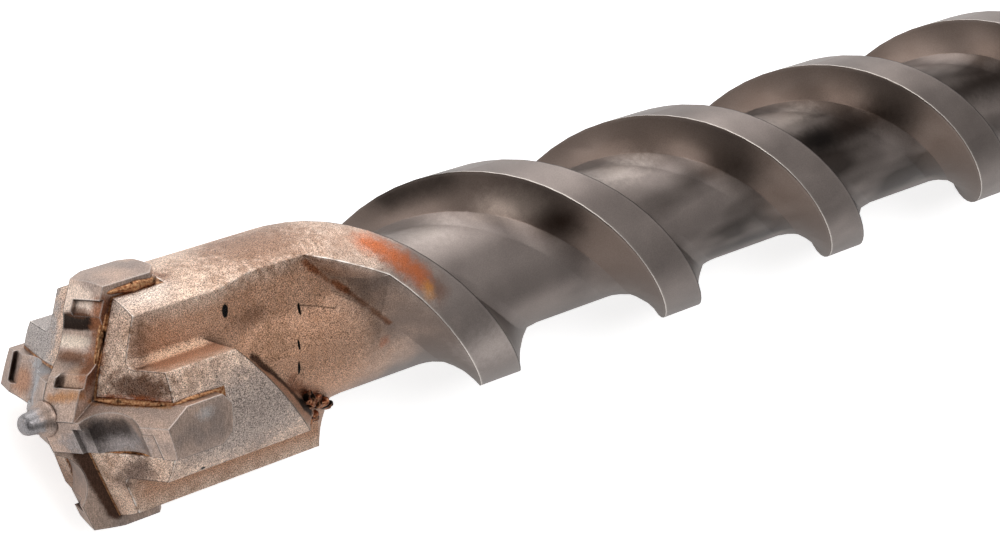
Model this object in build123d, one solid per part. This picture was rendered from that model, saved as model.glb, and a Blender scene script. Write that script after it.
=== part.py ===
from build123d import *
import os
from math import acos, atan, cos, degrees, radians, sin

# A hammer drill bit with a cross of four carbide cutting edges, twin helical flutes and a slotted
# 10 mm drive shank. Every piece is drawn upright, with the tip at the bottom and heights measured
# back from the point where the four cutting edges meet. The finished bit is then laid along X.

# overall sizes
overall_length = 210.0
cut_radius = 8.0            # over the carbide corners
body_radius = 7.25          # over the helical lands
nose_height = 1.3           # centring nose, ahead of the point
back = overall_length - nose_height   # height of the struck rear face
face_rise = 0.42            # cone of the cutting edges, rise per mm of radius
steel_setback = 1.55        # steel face of the head behind the cutting edges
rest_turn = 50.0            # angle of arm one from straight up, as the bit lies at rest

# helical lands and flutes
lead = 37.3
land_width = 3.85           # along the axis, at the crest
tip_edge = 18.19            # height of the tip-facing crest edge of land one, at angle zero
tip_wall_turn = 21.2        # angle taken by the sloped wall that faces the tip
rear_wall_turn = 16.5       # angle taken by the steeper wall that faces the shank
core_radius = 4.52          # round core, the middle of each flute's floor
floor_tip_side = 4.94       # floor radius at the foot of the tip-facing wall
floor_rear_side = 4.67      # floor radius at the foot of the shank-facing wall
floor_dip = 0.005           # how far the floor's flanks would dip below the core they run into
head_end = 24.0             # where the head's own cuts give way to plain flutes
flute_end = 151.0
flute_overrun = 0.5         # the flutes' spaces run this far past the ends of the bars they cut
run_out = 21.0              # length over which the flutes rise to the surface
run_out_sink = 0.1          # the rising floor starts this far inside the core

# head
arm_lead_side = 2.93        # steel arm, from its cutting edge to its leading side
arm_trail_side = 4.06       # and to its trailing side
corner_radius = 0.6
flute_start = 11.5          # height at which the flute begins to cut deeper than the arm's side
flute_deep = 14.4           # and at which it has its full depth
flute_side = 3.58           # side of the flute, from the arm's cutting edge
mouth_turn = 45.0           # angle of the flute's mouth, where it turns into the helix
mouth_slope = 1.55
mouth_height = 21.89
side_blend = 1.5            # blend between the arm's side and the flute's floor
short_gullet = 16.0
long_gullet = 22.5

# carbide cross
plate_lead = 1.0            # plate, from its cutting edge to its leading side
plate_trail = 2.2           # and to its trailing side
plate_back = 8.45
plate_bevel = 0.7           # bevel on the buried rear corners
blank_front = 3.0           # how far an unground plate stands ahead of the point
rake_slope = 1.647          # rise per mm ahead of the edge
relief_slope = 0.38         # rise per mm behind the edge
notch_radius = 2.6          # rounded chip breaker across each edge
notch_inner = 2.5           # where it leaves the edge, near the centre and near the rim
notch_outer = 6.05
pocket_step = 0.5           # the ground-down part of the relief starts this far behind the edge
pocket_depth = 0.32
pocket_inner = 1.9
pocket_outer = 6.85
nose_radius = 0.64          # foot of the centring nose
nose_tip = 0.6
nose_foot = 0.5
nose_rounding = 0.55

# braze between carbide and steel
braze_gap = 0.16
bead_leg = 0.5              # fillet beside each plate, on the head's face
bead_start = 2.6            # radius where the fillet starts
bead_short = 0.45           # and how far inside the rim it ends
bead_root = 0.05            # depth to which it is keyed into the face

# shank
shank_radius = 5.0
collar_radius = 7.0
collar_end = 154.0
shoulder_end = 158.5
rear_chamfer = 1.0
ball_groove_radius = 3.5
ball_groove_depth = 1.4
ball_groove_front = 32.0    # distances from the rear face
ball_groove_rear = 11.5
key_groove_width = 3.4
key_groove_depth = 1.45
key_groove_length = 28.5
key_cutter_radius = 9.0

turn_per_mm = 360.0 / lead
crest_clearance = 0.9       # how far past the crests the flutes' spaces reach, in wall lengths
overlap = 1.0               # how far the other cutting shapes run past what they cut


def at(radius, angle, height=0.0):
    return Vector(radius * cos(radians(angle)), radius * sin(radians(angle)), height)


def spun(shape, angle):
    return shape.rotate(Axis.Z, angle)


def merged(pieces):
    whole = pieces[0]
    for piece in pieces[1:]:
        whole = whole.fuse(piece)
    return whole.solids()[0] if len(whole.solids()) == 1 else whole


def common(first, second):
    """The largest solid that two shapes share."""
    found = first.intersect(second)
    found = found if isinstance(found, list) else [found]
    return max([solid for shape in found for solid in shape.solids()], key=lambda s: s.volume)


def polygon_prism(points, plane, depth, both=True):
    """Straight prism on a plane, from a closed list of corners."""
    face = Face(Wire.make_polygon([plane.from_local_coords(Vector(x, y, 0)) for x, y in points]))
    step = plane.z_dir * depth
    if both:
        face = face.moved(Location(plane.z_dir * (-depth)))
        step = plane.z_dir * (2 * depth)
    return Solid.extrude(face, step)


def revolved(points):
    """Turned solid, from radius and height pairs that begin and end on the axis."""
    wire = Wire.make_polygon([Vector(r, 0, h) for r, h in points])
    return Solid.revolve(Face(wire), 360, Axis.Z)


def flute_section(height, side):
    """Cross-section of one flute's space at a height, open past the crests and into the core."""
    crest = (height - tip_edge) * turn_per_mm + side
    rear_crest = crest + 180 - land_width * turn_per_mm
    tip_foot, rear_foot = crest + tip_wall_turn, rear_crest - rear_wall_turn
    under = core_radius - floor_dip
    tip_low, rear_low = at(floor_tip_side, tip_foot), at(floor_rear_side, rear_foot)
    tip_flank = at(under, tip_foot + degrees(acos(under / floor_tip_side)))
    rear_flank = at(under, rear_foot - degrees(acos(under / floor_rear_side)))
    tip_top, rear_top = at(body_radius, crest), at(body_radius, rear_crest)
    return Face(Wire.make_polygon([
        tip_low, tip_flank, at(under / 2, (tip_foot + rear_foot) / 2), rear_flank, rear_low,
        rear_top + (rear_top - rear_low) * crest_clearance,
        at(2 * body_radius, (crest + rear_crest) / 2),
        tip_top + (tip_top - tip_low) * crest_clearance,
    ])).moved(Location((0, 0, height)))


def twisted(face, low, high):
    return Solid.extrude_linear_with_rotation(
        face, (0, 0, low), (0, 0, high - low), (high - low) * turn_per_mm
    )


def flute_space(side, low, high):
    """Helical space of one flute, with the round core left standing in it."""
    space = twisted(flute_section(low, side), low, high)
    core = Solid.make_cylinder(core_radius, high - low + 2 * overlap, Plane((0, 0, low - overlap)))
    space = space.cut(core)
    return max(space.solids(), key=lambda s: s.volume)


def head_flute(side):
    """Flute space within the head: it starts beside an arm and turns into the helix."""
    reach, top = 2 * body_radius, head_end + 2 * body_radius
    beside = Plane(origin=(0, 0, 0), x_dir=(0, 1, 0), z_dir=(1, 0, 0))
    profile = [
        (arm_trail_side, 0), (arm_trail_side, flute_start), (flute_side, flute_deep),
        (flute_side, top), (reach, top), (reach, 0),
    ]
    near = polygon_prism(profile, beside, reach, both=False)
    far = Solid.make_box(reach, 2 * reach, top).moved(Location((-reach, -reach, 0)))
    mouth = Plane(origin=(0, 0, 0), x_dir=at(1, mouth_turn + 90), z_dir=at(1, mouth_turn))
    rise = reach * mouth_slope
    below = [(-reach, mouth_height - rise), (reach, mouth_height + rise), (reach, -top), (-reach, -top)]
    keep = common(merged([near, far]), polygon_prism(below, mouth, reach))
    return common(flute_space(side, 0, head_end + flute_overrun), spun(keep, side))


def gullet(arm):
    """Square-cornered chip channel between one arm and the next, parallel to the axis."""
    length = short_gullet if arm % 2 == 0 else long_gullet
    channel = Solid.make_box(body_radius, body_radius, length + overlap).moved(
        Location((arm_lead_side, arm_trail_side, -overlap)))
    corner = [e for e in channel.edges().filter_by(Axis.Z)
              if (e.center() - Vector(arm_lead_side, arm_trail_side, e.center().Z)).length < 0.01]
    return spun(channel.fillet(corner_radius, corner), 90 * arm)


def cutter_blank():
    """One arm's plate before it is ground."""
    outline = [
        (-plate_lead, -blank_front), (plate_trail, -blank_front),
        (plate_trail, plate_back - plate_bevel), (plate_trail - plate_bevel, plate_back),
        (plate_bevel - plate_lead, plate_back), (-plate_lead, plate_back - plate_bevel),
    ]
    across = Plane(origin=(0, 0, 0), x_dir=(0, 1, 0), z_dir=(1, 0, 0))
    plate = polygon_prism(outline, across, cut_radius + overlap, both=False)
    length = blank_front + plate_back + 2 * overlap
    barrel = Solid.make_cylinder(cut_radius, length, Plane((0, 0, -blank_front - overlap)))
    return common(plate, barrel)


def column_ahead(corners, foot):
    """Prism from a sloping four-cornered face down to a level one ahead of the tip."""
    base = [Vector(v.X, v.Y, foot) for v in corners]
    faces = [Face(Wire.make_polygon(corners)), Face(Wire.make_polygon(base))]
    for i in range(4):
        j = (i + 1) % 4
        faces.append(Face(Wire.make_polygon([corners[i], corners[j], base[j], base[i]])))
    return Solid(Shell(faces))


def ridge_cut():
    """Everything ahead of the two ground faces that meet in one cutting edge."""
    reach = cut_radius + overlap
    far = plate_lead + plate_trail + overlap

    def wedge(slope, side):
        # the ground face is the plane height = face_rise * radius + slope * distance
        edge = [Vector(-overlap, 0, -face_rise * overlap), Vector(reach, 0, face_rise * reach)]
        back_edge = [v + Vector(0, side * far, slope * far) for v in edge]
        return column_ahead([edge[0], edge[1], back_edge[1], back_edge[0]], -blank_front - overlap)
    return [wedge(rake_slope, -1), wedge(relief_slope, 1)]


def chip_breaker():
    """Roller that cuts the rounded notch; it lies parallel to the relief behind the edge."""
    half = (notch_outer - notch_inner) / 2 * (1 + face_rise ** 2) ** 0.5
    lift = (notch_radius ** 2 - half ** 2) ** 0.5
    slope = atan(face_rise)
    middle = (notch_inner + notch_outer) / 2
    along = Vector(0, 1, relief_slope).normalized()
    centre = Vector(middle + lift * sin(slope), 0, face_rise * middle - lift * cos(slope))
    reach = plate_lead + plate_trail + bead_leg + overlap
    return Solid.make_cylinder(notch_radius, 2 * reach, Plane(origin=centre - along * reach, z_dir=along))


def relief_pocket():
    """Ground-down area behind the edge, parallel to the relief."""
    far = plate_trail + overlap
    corners = [Vector(x, y, face_rise * x + relief_slope * y + pocket_depth)
               for x, y in ((pocket_inner, pocket_step), (pocket_outer, pocket_step),
                            (pocket_outer, far), (pocket_inner, far))]
    return column_ahead(corners, -overlap)


def centring_nose():
    """Small rounded nose that stands ahead of the crossing edges."""
    buried = nose_foot + overlap
    body = revolved([(0, buried), (nose_radius, buried), (nose_radius, nose_foot),
                     (nose_tip, -nose_height), (0, -nose_height)])
    tip = body.edges().filter_by(GeomType.CIRCLE).sort_by(Axis.Z)[0]
    return body.fillet(nose_rounding, [tip])


def carbide_cross():
    arms = []
    for arm in range(4):
        plate = cutter_blank()
        for cut in ridge_cut() + [chip_breaker(), relief_pocket()]:
            plate = plate.cut(cut)
        arms.append(spun(plate.solids()[0], 90 * arm))
    return merged(arms + [centring_nose()])


def slot_cross(gap):
    """Space that the carbide cross sits in, wider than it by the gap."""
    bars = []
    for arm in range(4):
        width = plate_lead + plate_trail + 2 * gap
        bar = Solid.make_box(cut_radius + overlap, width, plate_back + gap + overlap)
        bars.append(spun(bar.moved(Location((0, -plate_lead - gap, -overlap))), 90 * arm))
    return merged(bars)


def head_blank():
    rim = face_rise * body_radius + steel_setback
    return revolved([(0, steel_setback), (body_radius, rim), (body_radius, head_end), (0, head_end)])


def beside_arm(edge, side):
    """Whether an edge lies where the side of an arm meets the flute's floor."""
    turn = 1 if side == 0 else -1
    for place in (0.02, 0.5, 0.98):
        point = edge.position_at(place)
        share = min(max((point.Z - flute_start) / (flute_deep - flute_start), 0), 1)
        wall = arm_trail_side + share * (flute_side - arm_trail_side)
        low = (point.X ** 2 + point.Y ** 2) ** 0.5 < floor_tip_side
        if not low or abs(turn * point.Y - wall) > 0.01 or turn * point.X < 0 or point.Z < flute_start:
            return False
    return True


def head_solid():
    head = head_blank()
    for arm in range(4):
        head = head.cut(gullet(arm))
    for side in (0, 180):
        head = head.cut(head_flute(side))
    head = head.solids()[0]
    # the arm's side flows into the flute's floor
    feet = [edge for edge in head.edges() for side in (0, 180) if beside_arm(edge, side)]
    return head.fillet(side_blend, feet)


def fluted_body():
    bar = Solid.make_cylinder(body_radius, flute_end - head_end, Plane((0, 0, head_end)))
    for side in (0, 180):
        bar = bar.cut(flute_space(side, head_end - flute_overrun, flute_end + flute_overrun))
    return bar.solids()[0]


def run_out_cone():
    """Floor of the flutes rising to the surface at the shank end."""
    start = (core_radius - run_out_sink, 0, flute_end - run_out)
    end = (body_radius, 0, flute_end)
    profile = Wire([
        Line((0, 0, start[2]), start).edge(),
        TangentArc(start, end, tangent=(0, 0, 1)).edge(),
        Line(end, (0, 0, flute_end)).edge(),
        Line((0, 0, flute_end), (0, 0, start[2])).edge(),
    ])
    return Solid.revolve(Face(profile), 360, Axis.Z)


def shank():
    """Turned collar, shoulder and shank, without its grooves."""
    return revolved([
        (0, flute_end), (body_radius, flute_end),
        (body_radius, collar_end - (body_radius - collar_radius)),
        (collar_radius, collar_end), (shank_radius, shoulder_end),
        (shank_radius, back - rear_chamfer), (shank_radius - rear_chamfer, back), (0, back),
    ])


def ball_groove(angle):
    """Closed groove with round ends that the locking ball drops into."""
    middle = shank_radius + ball_groove_radius - ball_groove_depth
    front = back - ball_groove_front + ball_groove_radius
    rear = back - ball_groove_rear - ball_groove_radius
    rod = Solid.make_cylinder(ball_groove_radius, rear - front, Plane((middle, 0, front)))
    ends = [Solid.make_sphere(ball_groove_radius, angle1=-90, angle2=90, angle3=360).moved(
        Location((middle, 0, h))) for h in (front, rear)]
    return spun(merged([rod] + ends), angle)


def key_groove(angle):
    """Open-ended drive groove with a flat floor that runs out on the cutter's radius."""
    floor = shank_radius - key_groove_depth
    front = back - key_groove_length
    drop = key_cutter_radius - key_groove_depth
    reach = (key_cutter_radius ** 2 - drop ** 2) ** 0.5
    outside, behind = shank_radius + overlap, back + overlap
    corners = [(shank_radius, 0, front), (outside, 0, front), (outside, 0, behind), (floor, 0, behind),
               (floor, 0, front + reach)]
    sides = [Line(first, second).edge() for first, second in zip(corners, corners[1:])]
    profile = Wire(sides + [TangentArc(corners[-1], corners[0], tangent=(0, 0, -1)).edge()])
    face = Face(profile).moved(Location((0, -key_groove_width / 2, 0)))
    return spun(Solid.extrude(face, Vector(0, key_groove_width, 0)), angle)


def steel_body():
    head = head_solid().cut(slot_cross(braze_gap)).solids()[0]
    rear = shank()
    for turn in (0, 180):
        rear = rear.cut(ball_groove(rest_turn + turn)).cut(key_groove(rest_turn + 90 + turn))
    return merged([head, fluted_body(), run_out_cone(), rear.solids()[0]])


def braze_bead(arm):
    """Fillet of braze along the trailing flank of one plate, on the head's face."""
    start = Vector(bead_start, plate_trail, face_rise * bead_start + steel_setback)
    inside = -2 * braze_gap     # runs into the plate, which is cut away from it later
    section = [(inside, bead_root), (bead_leg, bead_root), (bead_leg, 0), (0, -bead_leg), (inside, -bead_leg)]
    face = Face(Wire.make_polygon([start + Vector(0, y, z) for y, z in section]))
    length = body_radius - bead_short - bead_start
    return spun(Solid.extrude(face, Vector(length, 0, face_rise * length)), 90 * arm)


def braze(carbide):
    """Filler that lines the slot, with a small fillet behind each cutting edge."""
    layer = common(slot_cross(braze_gap), head_blank())
    whole = merged([layer] + [braze_bead(arm) for arm in range(4)])
    for arm in range(4):
        whole = whole.cut(gullet(arm)).cut(spun(chip_breaker(), 90 * arm))
    return max(whole.cut(carbide).solids(), key=lambda s: s.volume)


def laid(shape):
    """From the drawing's upright place to the finished one, at rest along X."""
    turn = radians(-rest_turn)
    place = Plane(origin=(back, 0, 0), x_dir=(0, sin(turn), cos(turn)), z_dir=(-1, 0, 0))
    return shape.moved(place.location)


def main():
    os.makedirs("parts", exist_ok=True)
    carbide = carbide_cross()
    steel = steel_body()
    filler = braze(carbide)
    steel = steel.cut(filler).solids()[0]
    for name, shape in (("steel_body", steel), ("carbide_cutter", carbide), ("braze_filler", filler)):
        shape = laid(shape)
        print(name, "valid", shape.is_valid, "volume", round(shape.volume, 1),
              "solids", len(shape.solids()), "faces", len(shape.faces()))
        export_step(shape, f"parts/{name}.step")


main()
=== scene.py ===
import math

import bmesh
import bpy
from mathutils import Matrix, Vector, noise


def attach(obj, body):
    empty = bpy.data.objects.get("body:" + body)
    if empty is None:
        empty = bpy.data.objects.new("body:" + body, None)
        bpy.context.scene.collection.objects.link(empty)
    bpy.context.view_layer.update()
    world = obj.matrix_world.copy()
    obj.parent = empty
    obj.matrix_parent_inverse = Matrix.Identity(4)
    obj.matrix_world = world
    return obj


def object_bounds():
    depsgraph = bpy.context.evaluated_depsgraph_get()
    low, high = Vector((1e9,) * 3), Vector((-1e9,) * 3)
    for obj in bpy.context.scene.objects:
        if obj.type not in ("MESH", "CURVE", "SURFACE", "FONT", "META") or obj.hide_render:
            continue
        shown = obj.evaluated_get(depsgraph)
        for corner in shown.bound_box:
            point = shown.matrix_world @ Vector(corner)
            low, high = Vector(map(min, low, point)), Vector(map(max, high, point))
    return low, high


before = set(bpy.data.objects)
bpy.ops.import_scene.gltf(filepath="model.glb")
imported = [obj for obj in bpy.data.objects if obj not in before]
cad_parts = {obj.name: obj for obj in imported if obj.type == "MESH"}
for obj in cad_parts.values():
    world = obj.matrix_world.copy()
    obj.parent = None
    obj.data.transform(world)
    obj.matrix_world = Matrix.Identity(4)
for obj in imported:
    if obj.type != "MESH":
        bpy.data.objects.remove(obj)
cadBox = [list(corner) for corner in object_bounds()]
mm = 0.001


def srgbToLinear(hexCode):
    channels = [int(hexCode[i:i + 2], 16) / 255 for i in (1, 3, 5)]
    return [c / 12.92 if c <= 0.04045 else ((c + 0.055) / 1.055) ** 2.4 for c in channels] + [1.0]


# adds one node, with its inputs set or linked and its settings made
def addNode(material, kind, inputs=None, **settings):
    tree = material.node_tree
    node = tree.nodes.new(kind)
    for key, value in settings.items():
        setattr(node, key, value)
    for key, value in (inputs or {}).items():
        if isinstance(value, bpy.types.NodeSocket):
            tree.links.new(value, node.inputs[key])
        elif isinstance(value, str):
            node.inputs[key].default_value = srgbToLinear(value)
        else:
            node.inputs[key].default_value = value
    return node


def newMaterial(name):
    material = bpy.data.materials.new(name)
    material.use_nodes = True
    material.node_tree.nodes.clear()
    return material


# camera at the photograph's angle, looking down on the floor that the bit lies on
cameraFit = {
    "place": (0.31937, 0.05079, 0.15230),
    "right": (-0.691148, 0.508444, 0.513615),
    "up": (-0.234055, -0.829845, 0.506533),
    "lens": 116.29,
    "sensorWidth": 36.0,
    "nearest": 0.01,
}


def makeCamera(fit):
    right, up = Vector(fit["right"]).normalized(), Vector(fit["up"])
    back = right.cross(up).normalized()
    up = back.cross(right)
    data = bpy.data.cameras.new("camera")
    data.lens = fit["lens"]
    data.sensor_width = fit["sensorWidth"]
    data.clip_start = fit["nearest"]
    camera = bpy.data.objects.new("camera", data)
    turn = Matrix((right, up, back)).transposed().to_4x4()
    camera.matrix_world = Matrix.Translation(fit["place"]) @ turn
    bpy.context.scene.collection.objects.link(camera)
    bpy.context.scene.camera = camera


makeCamera(cameraFit)
bpy.context.scene.view_settings.view_transform = "Standard"
print("camera is set")

studio = {
    "floorColour": "#f2f2f2",
    "floorReach": 6.0,
    "floorGlow": 0.72,            # what the eye sees beside the lamps' own light
    "floorMirror": 0.22,          # and what the metal sees of it
    "roomDim": 0.13,              # the room on the photographer's side
    "roomBright": 0.70,           # and behind the bit, on the window side
    "windowSide": (-0.65, -0.30, 0.70),
    "dimUpTo": -0.5,              # cosines of the angle from the window side
    "brightFrom": 0.9,
    "centre": (0.165, 0.0, 0.0),
    "softboxes": {
        "windowSoftbox": {
            "toward": (-0.34, -0.76, 0.55), "distance": 0.85, "size": (1.0, 0.8), "watts": 4.2},
        "frontSoftbox": {
            "toward": (0.80, -0.45, 0.25), "distance": 0.7, "size": (0.4, 0.4), "watts": 0.8},
        "ceilingSoftbox": {
            "toward": (-0.05, 0.25, 1.0), "distance": 0.8, "size": (0.6, 0.5), "watts": 1.9},
    },
}


def makeFloor(settings):
    mesh = bpy.data.meshes.new("floor")
    bm = bmesh.new()
    bmesh.ops.create_grid(bm, x_segments=1, y_segments=1, size=settings["floorReach"])
    bmesh.ops.translate(bm, vec=(0, 0, cadBox[0][2]), verts=bm.verts)
    bm.to_mesh(mesh)
    bm.free()
    floor = bpy.data.objects.new("floor", mesh)
    bpy.context.scene.collection.objects.link(floor)
    paper = newMaterial("white paper")      # matt, with a glow that keeps it plain white to the eye
    diffuse = addNode(paper, "ShaderNodeBsdfDiffuse", {"Color": settings["floorColour"]})
    path = addNode(paper, "ShaderNodeLightPath")
    seen = addNode(paper, "ShaderNodeMath", {0: path.outputs["Is Camera Ray"],
                                             1: path.outputs["Is Transmission Ray"]}, operation="MAXIMUM")
    direct = addNode(paper, "ShaderNodeMath", {0: seen.outputs[0], 1: settings["floorGlow"]},
                     operation="MULTIPLY")
    strength = addNode(paper, "ShaderNodeMath", {
        0: path.outputs["Is Glossy Ray"], 1: settings["floorMirror"], 2: direct.outputs[0]},
        operation="MULTIPLY_ADD")
    glow = addNode(paper, "ShaderNodeEmission", {"Strength": strength.outputs[0]})
    both = addNode(paper, "ShaderNodeAddShader", {0: diffuse.outputs[0], 1: glow.outputs[0]})
    addNode(paper, "ShaderNodeOutputMaterial", {"Surface": both.outputs[0]})
    mesh.materials.append(paper)


def makeWorld(settings):
    world = bpy.data.worlds.new("studio")
    bpy.context.scene.world = world
    world.use_nodes = True
    world.node_tree.nodes.clear()
    around = addNode(world, "ShaderNodeTexCoord")
    facing = addNode(world, "ShaderNodeVectorMath", {
        0: around.outputs["Generated"], 1: Vector(settings["windowSide"]).normalized()},
        operation="DOT_PRODUCT")
    room = addNode(world, "ShaderNodeMapRange", {
        "Value": facing.outputs["Value"],
        "From Min": settings["dimUpTo"], "From Max": settings["brightFrom"],
        "To Min": settings["roomDim"], "To Max": settings["roomBright"]}, interpolation_type="SMOOTHSTEP")
    path = addNode(world, "ShaderNodeLightPath")
    strength = addNode(world, "ShaderNodeMix", {
        0: path.outputs["Is Camera Ray"], 2: room.outputs[0], 3: 1.0})
    background = addNode(world, "ShaderNodeBackground", {"Strength": strength.outputs[0]})
    addNode(world, "ShaderNodeOutputWorld", {"Surface": background.outputs[0]})


def makeSoftbox(name, softbox, aim):
    data = bpy.data.lights.new(name, "AREA")
    data.shape = "RECTANGLE"
    data.size, data.size_y = softbox["size"]
    data.energy = softbox["watts"]
    box = bpy.data.objects.new(name, data)
    place = aim + Vector(softbox["toward"]).normalized() * softbox["distance"]
    turn = (place - aim).to_track_quat("Z", "Y").to_matrix().to_4x4()
    box.matrix_world = Matrix.Translation(place) @ turn
    bpy.context.scene.collection.objects.link(box)


makeFloor(studio)
makeWorld(studio)
for name, softbox in studio["softboxes"].items():
    makeSoftbox(name, softbox, Vector(studio["centre"]))
print("studio is set")

# the bit's own measures: arm one's turn from straight up, the nose ahead of the cutting edges' point,
# and that point's distance from the rear end
noseLength = 1.3
bit = {
    "armTurn": 50.0,
    "point": cadBox[1][0] / mm - noseLength,
}


# a place on the bit: out along arm one, out along arm two, and back from the point, in millimetres
def onBit(armOne, armTwo, back):
    turn = math.radians(bit["armTurn"])
    return Vector((bit["point"] - back,
                   armTwo * math.cos(turn) - armOne * math.sin(turn),
                   armTwo * math.sin(turn) + armOne * math.cos(turn))) * mm


# the same measures inside a material: x is minus the distance back, y arm two, z arm one
def addBitPlace(material):
    place = addNode(material, "ShaderNodeTexCoord")
    return addNode(material, "ShaderNodeMapping", {
        "Vector": place.outputs["Object"], "Location": (-bit["point"], 0, 0),
        "Rotation": (math.radians(-bit["armTurn"]), 0, 0), "Scale": (1 / mm, 1 / mm, 1 / mm)}).outputs[0]


# what a mark has where it says nothing else
plainMark = {"ragged": 0.8, "strength": 1.0}


# mask of one mark, at a point or along a line: its strength in its middle, 0 outside, with a ragged edge
def addMark(material, place, mark, ragged):
    mark = dict(plainMark, **mark)
    armOne, armTwo, back = mark["at"]
    start = Vector((-back, armTwo, armOne))
    offset = addNode(material, "ShaderNodeVectorMath", {0: place, 1: start}, operation="SUBTRACT")
    if "to" in mark:
        line = Vector((-mark["to"][2], mark["to"][1], mark["to"][0])) - start
        along = addNode(material, "ShaderNodeVectorMath", {
            0: offset.outputs[0], 1: line / line.length_squared}, operation="DOT_PRODUCT")
        held = addNode(material, "ShaderNodeClamp", {"Value": along.outputs["Value"]})
        nearest = addNode(material, "ShaderNodeVectorMath", {0: line, "Scale": held.outputs[0]},
                          operation="SCALE")
        offset = addNode(material, "ShaderNodeVectorMath", {0: offset.outputs[0], 1: nearest.outputs[0]},
                         operation="SUBTRACT")
    alongOne, alongTwo, alongBack = mark["reach"]
    shared = addNode(material, "ShaderNodeVectorMath", {
        0: offset.outputs[0], 1: (alongBack, alongTwo, alongOne)}, operation="DIVIDE")
    distance = addNode(material, "ShaderNodeVectorMath", {0: shared.outputs[0]}, operation="LENGTH")
    edge = addNode(material, "ShaderNodeMath", {
        0: ragged, 1: mark["ragged"], 2: distance.outputs["Value"]}, operation="MULTIPLY_ADD")
    shift = mark["ragged"] / 2
    return addNode(material, "ShaderNodeMapRange", {
        "Value": edge.outputs[0], "From Min": mark["core"] + shift, "From Max": 1.0 + shift,
        "To Min": mark["strength"], "To Max": 0.0}, interpolation_type="SMOOTHSTEP").outputs[0]


steelFinish = {
    "satinLight": "#948983",
    "satinDark": "#776d69",
    "bronzeLight": "#dcc2b0",
    "bronzeDark": "#a58874",
    "gulletBrown": "#b5886b",
    # colour of the painted shade on walls that face the tip
    "wallShade": "#726259",
    # colour of the painted dark reflections in the flutes
    "darkReflection": "#1f150f",
    # colour of the dirt and painted shade in creases
    "dirtAndShade": "#2a160c",
    "wornEdge": "#fff6ee",
    "edgeShade": "#191310",
    # sizes of the patterns
    "cloud": 3.2,
    "mottle": 0.5,
    "grit": 0.075,                # dents of the blasting grit, drawn a little coarse so that they show
    "gritDepth": 0.045,
    "noiseRange": (0.3, 0.7),     # most of a noise lies between these
    # the blasted, braze-tinted head ends between two distances back from the point
    "bronzeFrom": 19.0,
    "bronzeTo": 28.0,
    "bronzeWaver": 9.0,
    "bronzeBlend": (0.75, 1.2),
    # painted dark reflections in the flutes: where they start, are full and end, and how they thin out
    # towards the lands
    "reflectionFrom": 36.0,
    "reflectionTo": 60.0,
    "reflectionEnd": 146.0,
    "reflectionFade": 15.0,
    "reflectionStretch": (0.10, 0.28, 0.28),
    "reflectionBands": (0.40, 0.62),
    "reflectionStrength": 0.85,
    "reflectionRadius": (5.6, 7.1),
    "landReflection": 0.3,
    # brown of the gullets, behind the head's face and inside its round, and painted shade on walls that face
    # the tip
    "gulletRadius": (6.3, 7.15),
    "gulletStrength": 0.75,
    "behindFace": (3.8, 5.5),
    "wallFacing": (0.10, 0.45),
    "wallStrength": 0.8,
    # brightness of the dents on the head and in the flutes
    "headDents": (0.28, 1.78),
    "fluteDents": (0.9, 1.1),
    # creases and edges
    "crease": 1.0,
    "creaseOpen": (0.48, 0.96),
    "creaseStrength": 0.95,
    "edgeWidth": 0.18,
    "edgeDepth": 0.32,
    "edgeOpen": (0.65, 0.95),
    "leadingLean": (-0.01, 0.06),
    "trailingLean": (-0.05, -0.20),
    "rubbedPatches": (0.42, 0.62),
    # in the flutes and on the head
    "roughness": (0.40, 0.44),
    "gritStrength": (0.12, 1.0),
}
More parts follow.
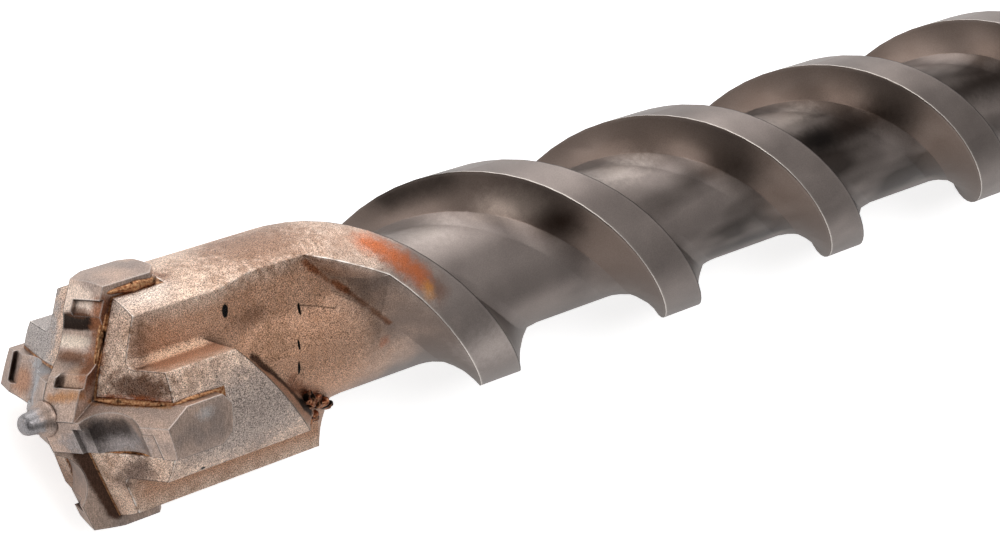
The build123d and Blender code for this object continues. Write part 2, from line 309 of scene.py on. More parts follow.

# stains and pits of the steel, with painted highlights and painted dark reflections among them, laid over
# one another in this order; places as in onBit
steelMarks = [
    # broad tints: the head's round, with a painted highlight at its front, painted highlights on the flute
    # floors, a land and a wall, the gullet's mouth, the faces
    {"colour": "#efe4dc", "at": (7.2, 2.6, 6.0), "reach": (2.5, 2.6, 4.5), "strength": 0.5, "core": 0.1},
    {"colour": "#94735f", "at": (7.0, 1.0, 17.0), "reach": (2.6, 5.0, 6.5), "strength": 0.9, "core": 0.2},
    {"colour": "#b08f7b", "at": (6.3, 3.5, 22.9), "reach": (1.6, 2.2, 2.8), "strength": 0.55, "core": 0.1},
    {"colour": "#c4b8b0", "at": (4.4, 1.2, 31.9), "reach": (1.6, 2.2, 4.6), "strength": 0.45, "core": 0.0},
    {"colour": "#b9ada5", "at": (4.4, 1.2, 50.8), "reach": (1.6, 2.2, 4.6), "strength": 0.6, "core": 0.0},
    {"colour": "#a3968d", "at": (4.4, 1.2, 69.3), "reach": (1.6, 2.2, 4.6), "strength": 0.5, "core": 0.0},
    {"colour": "#c2b6b0", "at": (-2.4, 6.8, 31.8), "reach": (3.0, 2.0, 5.0), "strength": 0.5, "core": 0.0},
    {"colour": "#a8988d", "at": (5.3, 2.2, 36.8), "to": (4.7, 3.3, 40.0), "reach": (1.6, 1.6, 2.2),
     "strength": 0.6, "core": 0.0},
    {"colour": "#87664f", "at": (1.7, 4.2, 15.2), "reach": (2.3, 2.3, 2.8), "strength": 0.6, "core": 0.1},
    {"colour": "#6e5a50", "at": (-3.9, 4.2, 3.9), "reach": (2.4, 2.2, 0.8), "strength": 0.75, "core": 0.3},
    {"colour": "#a49a95", "at": (-1.6, 7.4, 10.5), "reach": (5.0, 2.6, 9.0), "strength": 0.7, "core": 0.3},
    {"colour": "#a39d9b", "at": (3.5, -5.0, 5.0), "reach": (5.5, 3.9, 6.0), "strength": 0.9, "core": 0.6},
    {"colour": "#a48c7d", "at": (4.8, 2.9, 3.4), "reach": (2.6, 1.3, 1.5), "strength": 0.6, "core": 0.3},
    # dark flux, and brown along the braze seams and in the gullet's corners
    {"colour": "#4c2e1f", "at": (1.9, 5.0, 4.0), "reach": (1.35, 3.6, 1.8), "strength": 0.85, "core": 0.4},
    {"colour": "#8a4b2b", "at": (1.2, 2.6, 2.6), "to": (1.15, 7.0, 4.4), "reach": (0.45, 0.5, 0.45),
     "strength": 0.8, "core": 0.1, "ragged": 1.1},
    {"colour": "#7d4c30", "at": (2.6, 2.3, 2.8), "to": (7.0, 2.3, 4.3), "reach": (0.5, 0.55, 0.5),
     "strength": 0.85, "core": 0.1, "ragged": 1.1},
    {"colour": "#6b4a38", "at": (3.2, 3.4, 5.0), "to": (3.6, 3.5, 15.0), "reach": (0.9, 0.7, 0.9),
     "strength": 0.55, "core": 0.1},
    # rust where the gullet runs out into the flute
    {"colour": "#7c4527", "at": (5.79, 3.58, 19.0), "to": (3.36, 4.06, 21.8), "reach": (0.34, 0.5, 0.42),
     "strength": 0.85, "core": 0.3, "ragged": 0.9},
    {"colour": "#6a4028", "at": (3.36, 4.06, 21.8), "to": (0.61, 4.86, 24.6), "reach": (0.26, 0.5, 0.32),
     "strength": 0.75, "core": 0.2, "ragged": 0.9},
    {"colour": "#6a3f28", "at": (5.6, 4.6, 24.6), "to": (2.4, 6.8, 27.2), "reach": (1.5, 1.5, 1.5),
     "strength": 0.55, "core": 0.0, "ragged": 1.0},
    # painted dark reflections in the flutes
    {"colour": "#1f150f", "at": (2.9, 3.5, 62.0), "to": (2.9, 3.5, 104.0), "reach": (2.6, 2.6, 6.0),
     "strength": 0.9, "core": 0.0, "ragged": 0.25},
    {"colour": "#2a1b13", "at": (3.3, 4.6, 40.5), "to": (3.6, 4.4, 44.0), "reach": (1.9, 1.9, 2.4),
     "strength": 0.85, "core": 0.0, "ragged": 0.2},
    {"colour": "#140f0c", "at": (5.6, -3.6, 33.5), "to": (6.6, -1.5, 36.0), "reach": (1.6, 2.6, 2.0),
     "strength": 0.8, "core": 0.0, "ragged": 0.2},
    # the heat patch and a rust spot
    {"colour": "#b5633a", "at": (6.0, 4.1, 23.9), "to": (3.6, 6.2, 26.2), "reach": (1.5, 1.5, 1.5),
     "strength": 0.85, "core": 0.0, "ragged": 0.7},
    {"colour": "#c98a45", "at": (2.6, 6.75, 26.5), "reach": (1.0, 1.0, 0.8), "strength": 0.6, "core": 0.0},
    {"colour": "#b86a44", "at": (-0.71, 4.51, 24.47), "reach": (0.6, 0.6, 0.65), "strength": 0.5,
     "core": 0.0, "ragged": 1.2},
    # the burnt trail down to the drip
    {"colour": "#2b170e", "at": (1.2, 4.5, 13.4), "to": (-2.9, 4.7, 16.9), "reach": (0.42, 0.5, 0.42),
     "strength": 0.9, "core": 0.35, "ragged": 0.8},
    {"colour": "#7a4930", "at": (-1.2, 4.4, 16.4), "to": (-3.0, 3.9, 18.6), "reach": (0.9, 0.9, 1.0),
     "strength": 0.7, "core": 0.1, "ragged": 1.1},
    {"colour": "#0f0906", "at": (-2.7, 4.7, 16.9), "to": (-3.7, 4.2, 18.4), "reach": (0.55, 0.6, 0.55),
     "strength": 0.95, "core": 0.5},
    # a painted sheen on the gullet's floor, the darkest painted reflection in a flute, a scratch, and dirt
    # on the faces and at a seam's end
    {"colour": "#f3cbae", "at": (3.1, 4.3, 5.5), "to": (3.1, 4.3, 9.5), "reach": (0.7, 0.7, 0.9),
     "strength": 0.75, "core": 0.0, "ragged": 0.5},
    {"colour": "#0a0503", "at": (2.7, 3.6, 70.4), "reach": (1.7, 1.7, 3.6), "strength": 0.9, "core": 0.1,
     "ragged": 0.3},
    {"colour": "#2a160c", "at": (3.17, 3.58, 18.3), "to": (2.37, 3.94, 20.9), "reach": (0.09, 0.3, 0.2),
     "strength": 0.6, "core": 0.3, "ragged": 0.6},
    {"colour": "#5c4030", "at": (4.2, 4.2, 5.0), "reach": (2.2, 1.2, 1.3), "strength": 0.55, "core": 0.1},
    {"colour": "#54423a", "at": (-3.0, 4.6, 3.9), "to": (-4.2, 2.6, 3.7), "reach": (1.0, 1.0, 1.0),
     "strength": 0.55, "core": 0.1},
    {"colour": "#7a4a30", "at": (7.11, 1.5, 8.9), "reach": (0.7, 1.2, 0.9), "strength": 0.6, "core": 0.2},
    # a pit, three dashes and a speck
    {"colour": "#0c0a09", "at": (4.49, 4.01, 11.82), "reach": (0.50, 0.4, 0.33), "core": 0.75,
     "ragged": 0.35},
    {"colour": "#0c0a09", "at": (2.94, 3.61, 18.18), "reach": (0.50, 0.4, 0.15), "core": 0.7, "ragged": 0.6},
    {"colour": "#0c0a09", "at": (0.97, 4.40, 17.24), "reach": (0.40, 0.4, 0.13), "core": 0.7, "ragged": 0.6},
    {"colour": "#0c0a09", "at": (-0.47, 4.47, 17.03), "reach": (0.50, 0.4, 0.14), "core": 0.7,
     "ragged": 0.6},
    {"colour": "#0c0a09", "at": (-3.90, 6.11, 7.28), "reach": (0.14, 0.3, 0.3), "core": 0.5, "ragged": 0.5},
]


def addMarks(material, place, ragged, colour, marks):
    for mark in marks:
        mask = addMark(material, place, mark, ragged)
        colour = addNode(material, "ShaderNodeMix", {0: mask, 6: colour, 7: mark["colour"]},
                         data_type="RGBA").outputs[2]
    return colour


def makeSteel(finish):
    steel = newMaterial("hardened tool steel")  # satin in the flutes, shot-blasted and bronzed at the head
    place = addBitPlace(steel)
    axes = addNode(steel, "ShaderNodeSeparateXYZ", {"Vector": place})
    across = addNode(steel, "ShaderNodeCombineXYZ", {"Y": axes.outputs["Y"], "Z": axes.outputs["Z"]})
    radius = addNode(steel, "ShaderNodeVectorMath", {0: across.outputs[0]},
                     operation="LENGTH").outputs["Value"]
    cloud = addNode(steel, "ShaderNodeTexNoise", {
        "Vector": place, "Scale": 1 / finish["cloud"], "Detail": 3.0}).outputs["Fac"]
    mottle = addNode(steel, "ShaderNodeTexNoise", {
        "Vector": place, "Scale": 1 / finish["mottle"], "Detail": 4.0, "Roughness": 0.6}).outputs["Fac"]
    grit = addNode(steel, "ShaderNodeTexNoise", {
        "Vector": place, "Scale": 1 / finish["grit"], "Detail": 1.0, "Roughness": 0.6}).outputs["Fac"]

    # how much of the head's bronze blasting is here, with a wavering end
    wavering = addNode(steel, "ShaderNodeMath", {0: cloud, 1: finish["bronzeWaver"], 2: axes.outputs["X"]},
                       operation="MULTIPLY_ADD")
    middle = finish["bronzeWaver"] / 2
    head = addNode(steel, "ShaderNodeMapRange", {
        "Value": wavering.outputs[0], "From Min": middle - finish["bronzeTo"],
        "From Max": middle - finish["bronzeFrom"]}, interpolation_type="SMOOTHSTEP").outputs[0]
    satin = addNode(steel, "ShaderNodeMix", {0: cloud, 6: finish["satinDark"], 7: finish["satinLight"]},
                    data_type="RGBA").outputs[2]
    blend = addNode(steel, "ShaderNodeMath", {0: cloud, 1: mottle}, operation="ADD")
    darkest, lightest = finish["bronzeBlend"]
    blend = addNode(steel, "ShaderNodeMapRange", {
        "Value": blend.outputs[0], "From Min": darkest, "From Max": lightest})
    bronze = addNode(steel, "ShaderNodeMix", {
        0: blend.outputs[0], 6: finish["bronzeDark"], 7: finish["bronzeLight"]}, data_type="RGBA").outputs[2]
    colour = addNode(steel, "ShaderNodeMix", {0: head, 6: satin, 7: bronze}, data_type="RGBA").outputs[2]

    # painted dark reflections: bands that run with the flutes, stronger further back
    drawn = addNode(steel, "ShaderNodeVectorMath", {0: place, 1: finish["reflectionStretch"]},
                    operation="MULTIPLY")
    darkReflection = addNode(steel, "ShaderNodeTexNoise", {"Vector": drawn.outputs[0], "Scale": 1.0, "Detail": 2.0})
    clear, thick = finish["reflectionBands"]
    reflectionMask = addNode(steel, "ShaderNodeMapRange", {
        "Value": darkReflection.outputs["Fac"], "From Min": clear, "From Max": thick})
    further = addNode(steel, "ShaderNodeMapRange", {
        "Value": axes.outputs["X"], "From Min": -finish["reflectionTo"], "From Max": -finish["reflectionFrom"],
        "To Min": finish["reflectionStrength"], "To Max": 0.0})
    ahead = addNode(steel, "ShaderNodeMapRange", {
        "Value": axes.outputs["X"], "From Min": -finish["reflectionEnd"],
        "From Max": finish["reflectionFade"] - finish["reflectionEnd"]})
    inmost, outmost = finish["reflectionRadius"]
    low = addNode(steel, "ShaderNodeMapRange", {
        "Value": radius, "From Min": inmost, "From Max": outmost,
        "To Min": 1.0, "To Max": finish["landReflection"]})
    for mask in (further, ahead, low):
        reflectionMask = addNode(steel, "ShaderNodeMath", {0: reflectionMask.outputs[0], 1: mask.outputs[0]},
                         operation="MULTIPLY")

    # the gullets are browner than the round of the head
    inmost, outmost = finish["gulletRadius"]
    deep = addNode(steel, "ShaderNodeMapRange", {
        "Value": radius, "From Min": inmost, "From Max": outmost,
        "To Min": finish["gulletStrength"], "To Max": 0.0})
    nearest, furthest = finish["behindFace"]
    behindFace = addNode(steel, "ShaderNodeMapRange", {
        "Value": axes.outputs["X"], "From Min": -furthest, "From Max": -nearest,
        "To Min": 1.0, "To Max": 0.0})
    brown = addNode(steel, "ShaderNodeMath", {0: deep.outputs[0], 1: head}, operation="MULTIPLY")
    brown = addNode(steel, "ShaderNodeMath", {0: brown.outputs[0], 1: behindFace.outputs[0]},
                    operation="MULTIPLY")

    # and the flutes' walls that face the tip get painted shade, darker and browner
    flat = addNode(steel, "ShaderNodeNewGeometry")
    faced = addNode(steel, "ShaderNodeSeparateXYZ", {"Vector": flat.outputs["Normal"]})
    least, most = finish["wallFacing"]
    wall = addNode(steel, "ShaderNodeMapRange", {
        "Value": faced.outputs["X"], "From Min": least, "From Max": most,
        "To Min": 0.0, "To Max": finish["wallStrength"]})
    flute = addNode(steel, "ShaderNodeMath", {0: 1.0, 1: head}, operation="SUBTRACT")
    wall = addNode(steel, "ShaderNodeMath", {0: wall.outputs[0], 1: flute.outputs[0]}, operation="MULTIPLY")
    for mask, tint in ((reflectionMask, "darkReflection"), (brown, "gulletBrown"), (wall, "wallShade")):
        colour = addNode(steel, "ShaderNodeMix", {0: mask.outputs[0], 6: colour, 7: finish[tint]},
                         data_type="RGBA").outputs[2]
    colour = addMarks(steel, place, mottle, colour, steelMarks)

    # the grit's dents, strong on the head and faint in the flutes
    least, most = finish["noiseRange"]
    dents = [addNode(steel, "ShaderNodeMapRange", {
        "Value": grit, "From Min": least, "From Max": most, "To Min": dark, "To Max": light}).outputs[0]
        for dark, light in (finish["fluteDents"], finish["headDents"])]
    speckle = addNode(steel, "ShaderNodeMix", {0: head, 2: dents[0], 3: dents[1]})
    colour = addNode(steel, "ShaderNodeMix", {0: 1.0, 6: colour, 7: speckle.outputs[0]},
                     data_type="RGBA", blend_type="MULTIPLY").outputs[2]

    # creases are darkened, with dirt and braze smoke and with painted shade
    crease = addNode(steel, "ShaderNodeAmbientOcclusion", {"Distance": finish["crease"] * mm},
                     samples=8, only_local=True)
    closed, opened = finish["creaseOpen"]
    creased = addNode(steel, "ShaderNodeMapRange", {
        "Value": crease.outputs["AO"], "From Min": closed, "From Max": opened,
        "To Min": finish["creaseStrength"], "To Max": 0.0})

    # edges that lead towards the tip are worn bright, and the far edges have a painted dark line of shade
    soft = addNode(steel, "ShaderNodeBevel", {"Radius": finish["edgeWidth"] * mm}, samples=8)
    lean = addNode(steel, "ShaderNodeVectorMath", {0: soft.outputs[0], 1: flat.outputs["Normal"]},
                   operation="SUBTRACT")
    lean = addNode(steel, "ShaderNodeSeparateXYZ", {"Vector": lean.outputs[0]})
    inner = addNode(steel, "ShaderNodeAmbientOcclusion", {"Distance": finish["edgeDepth"] * mm},
                    samples=8, only_local=True, inside=True)
    closed, opened = finish["edgeOpen"]
    outward = addNode(steel, "ShaderNodeMapRange", {
        "Value": inner.outputs["AO"], "From Min": closed, "From Max": opened, "To Min": 1.0, "To Max": 0.0})
    least, most = finish["leadingLean"]
    leading = addNode(steel, "ShaderNodeMapRange", {
        "Value": lean.outputs["X"], "From Min": least, "From Max": most})
    least, most = finish["trailingLean"]
    trailing = addNode(steel, "ShaderNodeMapRange", {
        "Value": lean.outputs["X"], "From Min": least, "From Max": most})
    least, most = finish["rubbedPatches"]
    rubbed = addNode(steel, "ShaderNodeMapRange", {"Value": mottle, "From Min": least, "From Max": most})
    rubbed = addNode(steel, "ShaderNodeMix", {0: head, 2: 1.0, 3: rubbed.outputs[0]})
    bright = outward
    for mask in (leading, rubbed):
        bright = addNode(steel, "ShaderNodeMath", {0: bright.outputs[0], 1: mask.outputs[0]},
                         operation="MULTIPLY")
    shaded = addNode(steel, "ShaderNodeMath", {0: outward.outputs[0], 1: trailing.outputs[0]},
                     operation="MULTIPLY")
    for mask, tint in ((creased, "dirtAndShade"), (shaded, "edgeShade"), (bright, "wornEdge")):
        colour = addNode(steel, "ShaderNodeMix", {0: mask.outputs[0], 6: colour, 7: finish[tint]},
                         data_type="RGBA").outputs[2]

    inFlutes, onHead = finish["roughness"]
    roughness = addNode(steel, "ShaderNodeMapRange", {"Value": head, "To Min": inFlutes, "To Max": onHead})
    inFlutes, onHead = finish["gritStrength"]
    gritHeight = addNode(steel, "ShaderNodeMapRange", {"Value": head, "To Min": inFlutes, "To Max": onHead})
    bump = addNode(steel, "ShaderNodeBump", {
        "Height": grit, "Strength": gritHeight.outputs[0], "Distance": finish["gritDepth"] * mm,
        "Normal": soft.outputs[0]})
    surface = addNode(steel, "ShaderNodeBsdfPrincipled", {
        "Base Color": colour, "Metallic": 1.0, "Roughness": roughness.outputs[0], "Normal": bump.outputs[0]})
    addNode(steel, "ShaderNodeOutputMaterial", {"Surface": surface.outputs[0]})
    return steel


carbideFinish = {
    "warm": "#bfa697",
    "cool": "#a08f86",
    # colour of the dirt and painted shade in creases, and of the painted shade under the lower edges
    "dirtAndShade": "#23160f",
    "edge": "#e9e0da",
    # sizes of the patterns
    "cloud": 2.0,
    "mottle": 0.4,
    "grit": 0.07,
    "grindLine": 0.075,           # the wheel's lines, drawn coarser than real so that they show
    "lineStretch": (1.0, 1.0, 0.12),
    "lineDepth": 0.012,
    "noiseRange": (0.3, 0.7),     # most of a noise lies between these
    "cloudRange": (0.35, 0.65),
    # brightness of the flecks and the lines
    "fleckTones": (0.72, 1.3),
    "lineTones": (0.8, 1.18),
    # creases and edges
    "crease": 0.6,
    "creaseOpen": (0.4, 0.9),
    "creaseStrength": 0.85,
    "edgeWidth": 0.10,
    "edgeDepth": 0.12,
    "edgeOpen": (0.55, 0.9),
    "edgeStrength": 0.6,
    "belowLean": (-0.05, -0.22),
    "belowStrength": 0.85,
    "roughness": (0.34, 0.52),
}

# stains of braze and flux on the carbide, with painted shade and painted highlights among them, laid over
# one another in this order; places as in onBit
carbideMarks = [
    # broad tints: arm two's flank, the arm opposite it, the nose and the middle
    {"colour": "#8b8788", "at": (-1.4, 3.0, 2.4), "reach": (1.6, 4.6, 2.6), "strength": 0.75, "core": 0.5},
    {"colour": "#a2a5aa", "at": (3.5, -3.0, 3.0), "reach": (6.5, 2.4, 6.0), "strength": 0.8, "core": 0.6},
    {"colour": "#8d8f94", "at": (0.0, 0.0, -0.7), "reach": (1.2, 1.2, 1.2), "strength": 0.75, "core": 0.6},
    {"colour": "#b08f78", "at": (1.6, 1.3, 1.4), "to": (2.6, 1.5, 2.2), "reach": (1.0, 1.1, 1.0),
     "strength": 0.7, "core": 0.3, "ragged": 0.6},
    # the notches of arm one, with painted highlights and painted shade in turn, and braze along its foot
    {"colour": "#e0cbbc", "at": (6.6, 0.4, 3.2), "reach": (1.5, 1.9, 1.2), "strength": 0.8, "core": 0.6,
     "ragged": 0.4},
    {"colour": "#170c07", "at": (5.5, 0.4, 3.1), "reach": (0.72, 3.2, 1.4), "strength": 0.96, "core": 0.65,
     "ragged": 0.3},
    {"colour": "#5b3c2c", "at": (6.05, 0.7, 3.2), "reach": (0.45, 1.2, 0.8), "strength": 0.75, "core": 0.4},
    {"colour": "#ead9c8", "at": (4.25, 0.2, 2.8), "reach": (0.55, 2.4, 1.2), "strength": 0.8, "core": 0.3,
     "ragged": 0.4},
    {"colour": "#6b4733", "at": (3.4, 0.4, 2.6), "reach": (0.55, 2.4, 1.2), "strength": 0.85, "core": 0.2,
     "ragged": 0.5},
    {"colour": "#8a5a40", "at": (2.2, 1.95, 2.4), "to": (6.6, 1.95, 4.1), "reach": (0.8, 0.85, 0.8),
     "strength": 0.9, "core": 0.25, "ragged": 1.1},
    {"colour": "#a9774c", "at": (1.25, 0.5, 0.8), "to": (1.5, 2.1, 1.7), "reach": (0.5, 0.5, 0.5),
     "strength": 0.7, "core": 0.2, "ragged": 1.0},
    # painted shade in the hollows of arms one and two; stains on the two far arms, with painted shade in the
    # notch of the first of them
    {"colour": "#2b1a12", "at": (2.2, 0.68, 1.4), "reach": (0.70, 0.34, 0.9), "strength": 0.85, "core": 0.35,
     "ragged": 0.5},
    {"colour": "#2b211c", "at": (-0.7, 2.7, 2.0), "to": (-0.5, 4.3, 2.9), "reach": (1.3, 1.1, 1.3),
     "strength": 0.85, "core": 0.2, "ragged": 0.5},
    {"colour": "#43281a", "at": (-2.4, 1.0, 2.0), "to": (-6.8, 1.0, 4.4), "reach": (0.85, 0.72, 0.85),
     "strength": 0.92, "core": 0.55, "ragged": 0.4},
    {"colour": "#a87c62", "at": (0.7, -5.5, 3.1), "reach": (1.2, 1.3, 1.2), "strength": 0.75, "core": 0.3},
    {"colour": "#5a4238", "at": (1.3, -6.75, 3.6), "reach": (0.85, 0.40, 0.9), "strength": 0.7, "core": 0.2},
    # a seam's copper, a dark corner, and a painted highlight on the flat of arm two
    {"colour": "#c58a50", "at": (1.0, 2.3, 2.3), "to": (1.0, 7.0, 4.4), "reach": (0.28, 0.3, 0.3),
     "strength": 0.75, "core": 0.2, "ragged": 1.1},
    {"colour": "#4a3529", "at": (1.0, 7.3, 6.0), "to": (1.0, 7.4, 8.2), "reach": (0.5, 0.5, 0.4),
     "strength": 0.6, "core": 0.1, "ragged": 1.0},
    {"colour": "#cdd0d3", "at": (0.2, 7.9, 6.3), "reach": (0.6, 0.5, 1.0), "strength": 0.5, "core": 0.1,
     "ragged": 1.2},
]


def makeCarbide(finish):
    carbide = newMaterial("ground tungsten carbide")  # fine grey grind lines under braze and flux stains
    place = addBitPlace(carbide)
    cloud = addNode(carbide, "ShaderNodeTexNoise", {
        "Vector": place, "Scale": 1 / finish["cloud"], "Detail": 3.0}).outputs["Fac"]
    mottle = addNode(carbide, "ShaderNodeTexNoise", {
        "Vector": place, "Scale": 1 / finish["mottle"], "Detail": 4.0, "Roughness": 0.6}).outputs["Fac"]
    drawn = addNode(carbide, "ShaderNodeVectorMath", {0: place, 1: finish["lineStretch"]},
                    operation="MULTIPLY")
    lines = addNode(carbide, "ShaderNodeTexNoise", {
        "Vector": drawn.outputs[0], "Scale": 1 / finish["grindLine"], "Detail": 1.0}).outputs["Fac"]
    least, most = finish["cloudRange"]
    blend = addNode(carbide, "ShaderNodeMapRange", {"Value": cloud, "From Min": least, "From Max": most})
    colour = addNode(carbide, "ShaderNodeMix", {0: blend.outputs[0], 6: finish["cool"], 7: finish["warm"]},
                     data_type="RGBA").outputs[2]
    colour = addMarks(carbide, place, mottle, colour, carbideMarks)

    # flecks and grind lines
    grit = addNode(carbide, "ShaderNodeTexNoise", {
        "Vector": place, "Scale": 1 / finish["grit"], "Detail": 1.0}).outputs["Fac"]
    least, most = finish["noiseRange"]
    for pattern, tones in ((grit, "fleckTones"), (lines, "lineTones")):
        dark, light = finish[tones]
        tone = addNode(carbide, "ShaderNodeMapRange", {
            "Value": pattern, "From Min": least, "From Max": most, "To Min": dark, "To Max": light})
        colour = addNode(carbide, "ShaderNodeMix", {0: 1.0, 6: colour, 7: tone.outputs[0]},
                         data_type="RGBA", blend_type="MULTIPLY").outputs[2]

    # dirt and painted shade in the creases, painted shade under the lower edges, and bright worn edges
    crease = addNode(carbide, "ShaderNodeAmbientOcclusion", {"Distance": finish["crease"] * mm}, samples=6)
    closed, opened = finish["creaseOpen"]
    creased = addNode(carbide, "ShaderNodeMapRange", {
        "Value": crease.outputs["AO"], "From Min": closed, "From Max": opened,
        "To Min": finish["creaseStrength"], "To Max": 0.0})
    inner = addNode(carbide, "ShaderNodeAmbientOcclusion", {"Distance": finish["edgeDepth"] * mm},
                    samples=6, only_local=True, inside=True)
    closed, opened = finish["edgeOpen"]
    edge = addNode(carbide, "ShaderNodeMapRange", {
        "Value": inner.outputs["AO"], "From Min": closed, "From Max": opened,
        "To Min": finish["edgeStrength"], "To Max": 0.0})
    flat = addNode(carbide, "ShaderNodeNewGeometry")
    soft = addNode(carbide, "ShaderNodeBevel", {"Radius": finish["edgeWidth"] * mm}, samples=8)
    lean = addNode(carbide, "ShaderNodeVectorMath", {0: soft.outputs[0], 1: flat.outputs["Normal"]},
                   operation="SUBTRACT")
    lean = addNode(carbide, "ShaderNodeSeparateXYZ", {"Vector": lean.outputs[0]})
    least, most = finish["belowLean"]
    below = addNode(carbide, "ShaderNodeMapRange", {
        "Value": lean.outputs["Z"], "From Min": least, "From Max": most,
        "To Min": 0.0, "To Max": finish["belowStrength"]})
    for mask, tint in ((creased, "dirtAndShade"), (edge, "edge"), (below, "dirtAndShade")):
        colour = addNode(carbide, "ShaderNodeMix", {0: mask.outputs[0], 6: colour, 7: finish[tint]},
                         data_type="RGBA").outputs[2]

    bump = addNode(carbide, "ShaderNodeBump", {
        "Height": lines, "Strength": 0.5, "Distance": finish["lineDepth"] * mm, "Normal": soft.outputs[0]})
    smoothest, roughest = finish["roughness"]
    rough = addNode(carbide, "ShaderNodeMapRange", {
        "Value": mottle, "To Min": smoothest, "To Max": roughest})
    surface = addNode(carbide, "ShaderNodeBsdfPrincipled", {
        "Base Color": colour, "Metallic": 1.0, "Roughness": rough.outputs[0], "Normal": bump.outputs[0]})
    addNode(carbide, "ShaderNodeOutputMaterial", {"Surface": surface.outputs[0]})
    return carbide


# colours, where flux covers the metal (a lower range means more of it), and sizes of patches and lumps
brazeFinish = {
    "light": "#c0946c",
    "dark": "#7c4a30",
    "flux": "#20120b",
    "fluxRange": (0.56, 0.68),
    "lumpRange": (0.35, 0.65),
    "patch": 0.9,
    "lump": 0.16,
    "lumpDepth": 0.04,
    "roughness": (0.3, 0.6),
}
burntFinish = dict(brazeFinish, light="#c08a68", dark="#6e3522", flux="#0f0906", fluxRange=(0.44, 0.56),
                   lump=0.22)


def makeBraze(name, finish):
    braze = newMaterial(name)
    place = addBitPlace(braze)
    patch = addNode(braze, "ShaderNodeTexNoise", {
        "Vector": place, "Scale": 1 / finish["patch"], "Detail": 3.0, "Roughness": 0.6}).outputs["Fac"]
    lump = addNode(braze, "ShaderNodeTexNoise", {
        "Vector": place, "Scale": 1 / finish["lump"], "Detail": 2.0}).outputs["Fac"]
    least, most = finish["lumpRange"]
    blend = addNode(braze, "ShaderNodeMapRange", {"Value": lump, "From Min": least, "From Max": most})
    colour = addNode(braze, "ShaderNodeMix", {0: blend.outputs[0], 6: finish["dark"], 7: finish["light"]},
                     data_type="RGBA").outputs[2]
    least, most = finish["fluxRange"]
    burnt = addNode(braze, "ShaderNodeMapRange", {"Value": patch, "From Min": least, "From Max": most})
    colour = addNode(braze, "ShaderNodeMix", {0: burnt.outputs[0], 6: colour, 7: finish["flux"]},
                     data_type="RGBA").outputs[2]
    smoothest, roughest = finish["roughness"]
    rough = addNode(braze, "ShaderNodeMapRange", {"Value": patch, "To Min": smoothest, "To Max": roughest})
    bump = addNode(braze, "ShaderNodeBump", {
        "Height": lump, "Strength": 0.6, "Distance": finish["lumpDepth"] * mm})
    surface = addNode(braze, "ShaderNodeBsdfPrincipled", {
        "Base Color": colour, "Metallic": 1.0, "Roughness": rough.outputs[0], "Normal": bump.outputs[0]})
    addNode(braze, "ShaderNodeOutputMaterial", {"Surface": surface.outputs[0]})
    return braze


def dress(nodeName, material):
    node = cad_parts[nodeName]
    node.data.materials.clear()
    node.data.materials.append(material)


steel = makeSteel(steelFinish)
carbide = makeCarbide(carbideFinish)
copperBraze = makeBraze("copper braze", brazeFinish)       # gold and copper, with dark flux left on it
burntBraze = makeBraze("burnt braze", burntFinish)         # mostly black flux, with copper showing through
dress("steel_body", steel)
dress("carbide_cutter", carbide)
dress("braze_filler", copperBraze)
print("finishes are on")


# makes one object of the surfaces in bm, and gives it its material and its body
def addPiece(name, bm, material):
    bmesh.ops.recalc_face_normals(bm, faces=bm.faces)
    for face in bm.faces:
        face.smooth = True
    mesh = bpy.data.meshes.new(name)
    bm.to_mesh(mesh)
    bm.free()
    mesh.materials.append(material)
    piece = bpy.data.objects.new(name, mesh)
    bpy.context.scene.collection.objects.link(piece)
    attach(piece, "root")


# joins each ring of points to the next, into a tube
def joinRings(bm, rings):
    around = len(rings[0])
    for near, far in zip(rings, rings[1:]):
        for i in range(around):
            j = (i + 1) % around
            bm.faces.new((near[i], near[j], far[j], far[i]))


# one lumpy string of braze: a closed tube along a line, thin at both ends
def addBead(bm, bead, settings):
    line = [onBit(*point) for point in bead["line"]]
    radius = bead["radius"] * mm
    around = settings["around"]
    rings = []
    for step in range(1, bead["steps"]):
        share = step / bead["steps"]
        along = share * (len(line) - 1)
        first = min(int(along), len(line) - 2)
        centre = line[first].lerp(line[first + 1], along - first)
        ahead = (line[first + 1] - line[first]).normalized()
        side = ahead.cross(Vector((1, 0, 0))).normalized()
        other = ahead.cross(side)
        full = math.sin(math.pi * share) ** settings["taper"]
        ring = []
        for turn in range(around):
            angle = 2 * math.pi * turn / around
            out = side * math.cos(angle) + other * math.sin(angle)
            sample = (centre + out * radius) / (settings["lumpSize"] * mm)
            swell = 1 + settings["lumpHeight"] * noise.noise(sample)
            ring.append(bm.verts.new(centre + out * radius * full * swell))
        rings.append(ring)
    joinRings(bm, rings)
    for ring, end in ((rings[0], line[0]), (rings[-1], line[-1])):
        pole = bm.verts.new(end)
        for i in range(around):
            bm.faces.new((ring[i], ring[(i + 1) % around], pole))


# the fillets of braze that stand proud beside the plates, with lines through places as in onBit
brazeBeads = {
    "around": 14,
    "taper": 0.4,
    "lumpSize": 1.1,
    "lumpHeight": 0.45,
    "beads": [
        {"line": [(7.2, 2.1, 4.2), (7.15, 2.2, 6.2), (7.1, 2.1, 7.9), (7.05, 1.5, 8.6)], "radius": 0.30,
         "steps": 60},
        {"line": [(1.0, 7.08, 4.6), (1.0, 7.1, 6.6), (0.95, 7.05, 8.4)], "radius": 0.24, "steps": 50},
        {"line": [(1.05, 2.3, 2.5), (1.0, 4.5, 3.5), (1.0, 6.8, 4.45)], "radius": 0.19, "steps": 60},
        {"line": [(2.9, 2.1, 3.0), (4.5, 2.0, 3.65), (6.7, 2.05, 4.4)], "radius": 0.22, "steps": 60},
    ],
}


def makeBeads(name, settings):
    bm = bmesh.new()
    for bead in settings["beads"]:
        addBead(bm, bead, settings)
    addPiece(name, bm, copperBraze)


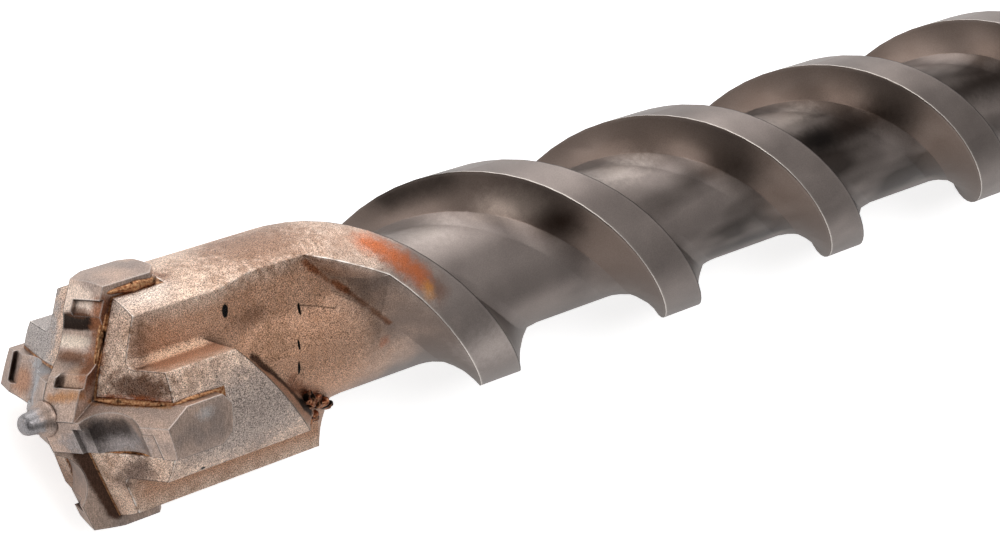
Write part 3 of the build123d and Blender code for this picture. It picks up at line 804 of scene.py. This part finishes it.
makeBeads("brazeFillets", brazeBeads)
print("brazeFillets is built")

# the drip of burnt braze where the gullet beside arm two runs out: lumps at a place, with a radius
brazeDrip = {
    "lumps": [
        {"at": (-2.75, 4.05, 17.9), "radius": 0.50},
        {"at": (-3.15, 3.85, 18.3), "radius": 0.46},
        {"at": (-3.35, 3.55, 19.0), "radius": 0.42},
        {"at": (-3.6, 3.35, 19.7), "radius": 0.40},
        {"at": (-4.0, 2.95, 20.4), "radius": 0.34},
        {"at": (-4.2, 2.75, 20.9), "radius": 0.26},
        {"at": (-4.35, 3.3, 18.9), "radius": 0.38},
        {"at": (-4.3, 3.9, 18.0), "radius": 0.30},
    ],
    "lumpSize": 0.4,
    "lumpHeight": 0.75,
    "fineness": 4,
}


def makeDrip(name, settings):
    bm = bmesh.new()
    for lump in settings["lumps"]:
        made = bmesh.ops.create_icosphere(bm, subdivisions=settings["fineness"], radius=lump["radius"] * mm)
        centre = onBit(*lump["at"])
        for vert in made["verts"]:
            sample = (vert.co + centre) / (settings["lumpSize"] * mm)
            swell = 1 + settings["lumpHeight"] * noise.noise(sample)
            vert.co = centre + vert.co * swell
    addPiece(name, bm, burntBraze)


makeDrip("brazeDrip", brazeDrip)
print("brazeDrip is built")

# the rounded skin of the centring nose: distance back from the point, and radius
noseSkin = {
    "profile": [(-1.29, 0.34), (-1.24, 0.47), (-1.12, 0.60), (-0.92, 0.68), (-0.65, 0.71), (-0.35, 0.75),
                (-0.1, 0.84), (0.1, 0.95), (0.3, 1.08), (0.5, 1.16), (0.8, 1.0)],
    "around": 40,
}


def makeNoseSkin(name, settings):
    bm = bmesh.new()
    rings = []
    turns = [2 * math.pi * turn / settings["around"] for turn in range(settings["around"])]
    for back, radius in settings["profile"]:
        rings.append([bm.verts.new(onBit(radius * math.cos(a), radius * math.sin(a), back)) for a in turns])
    joinRings(bm, rings)
    bm.faces.new(rings[0])
    bm.faces.new(rings[-1])
    addPiece(name, bm, carbide)


makeNoseSkin("noseSkin", noseSkin)
print("noseSkin is built")
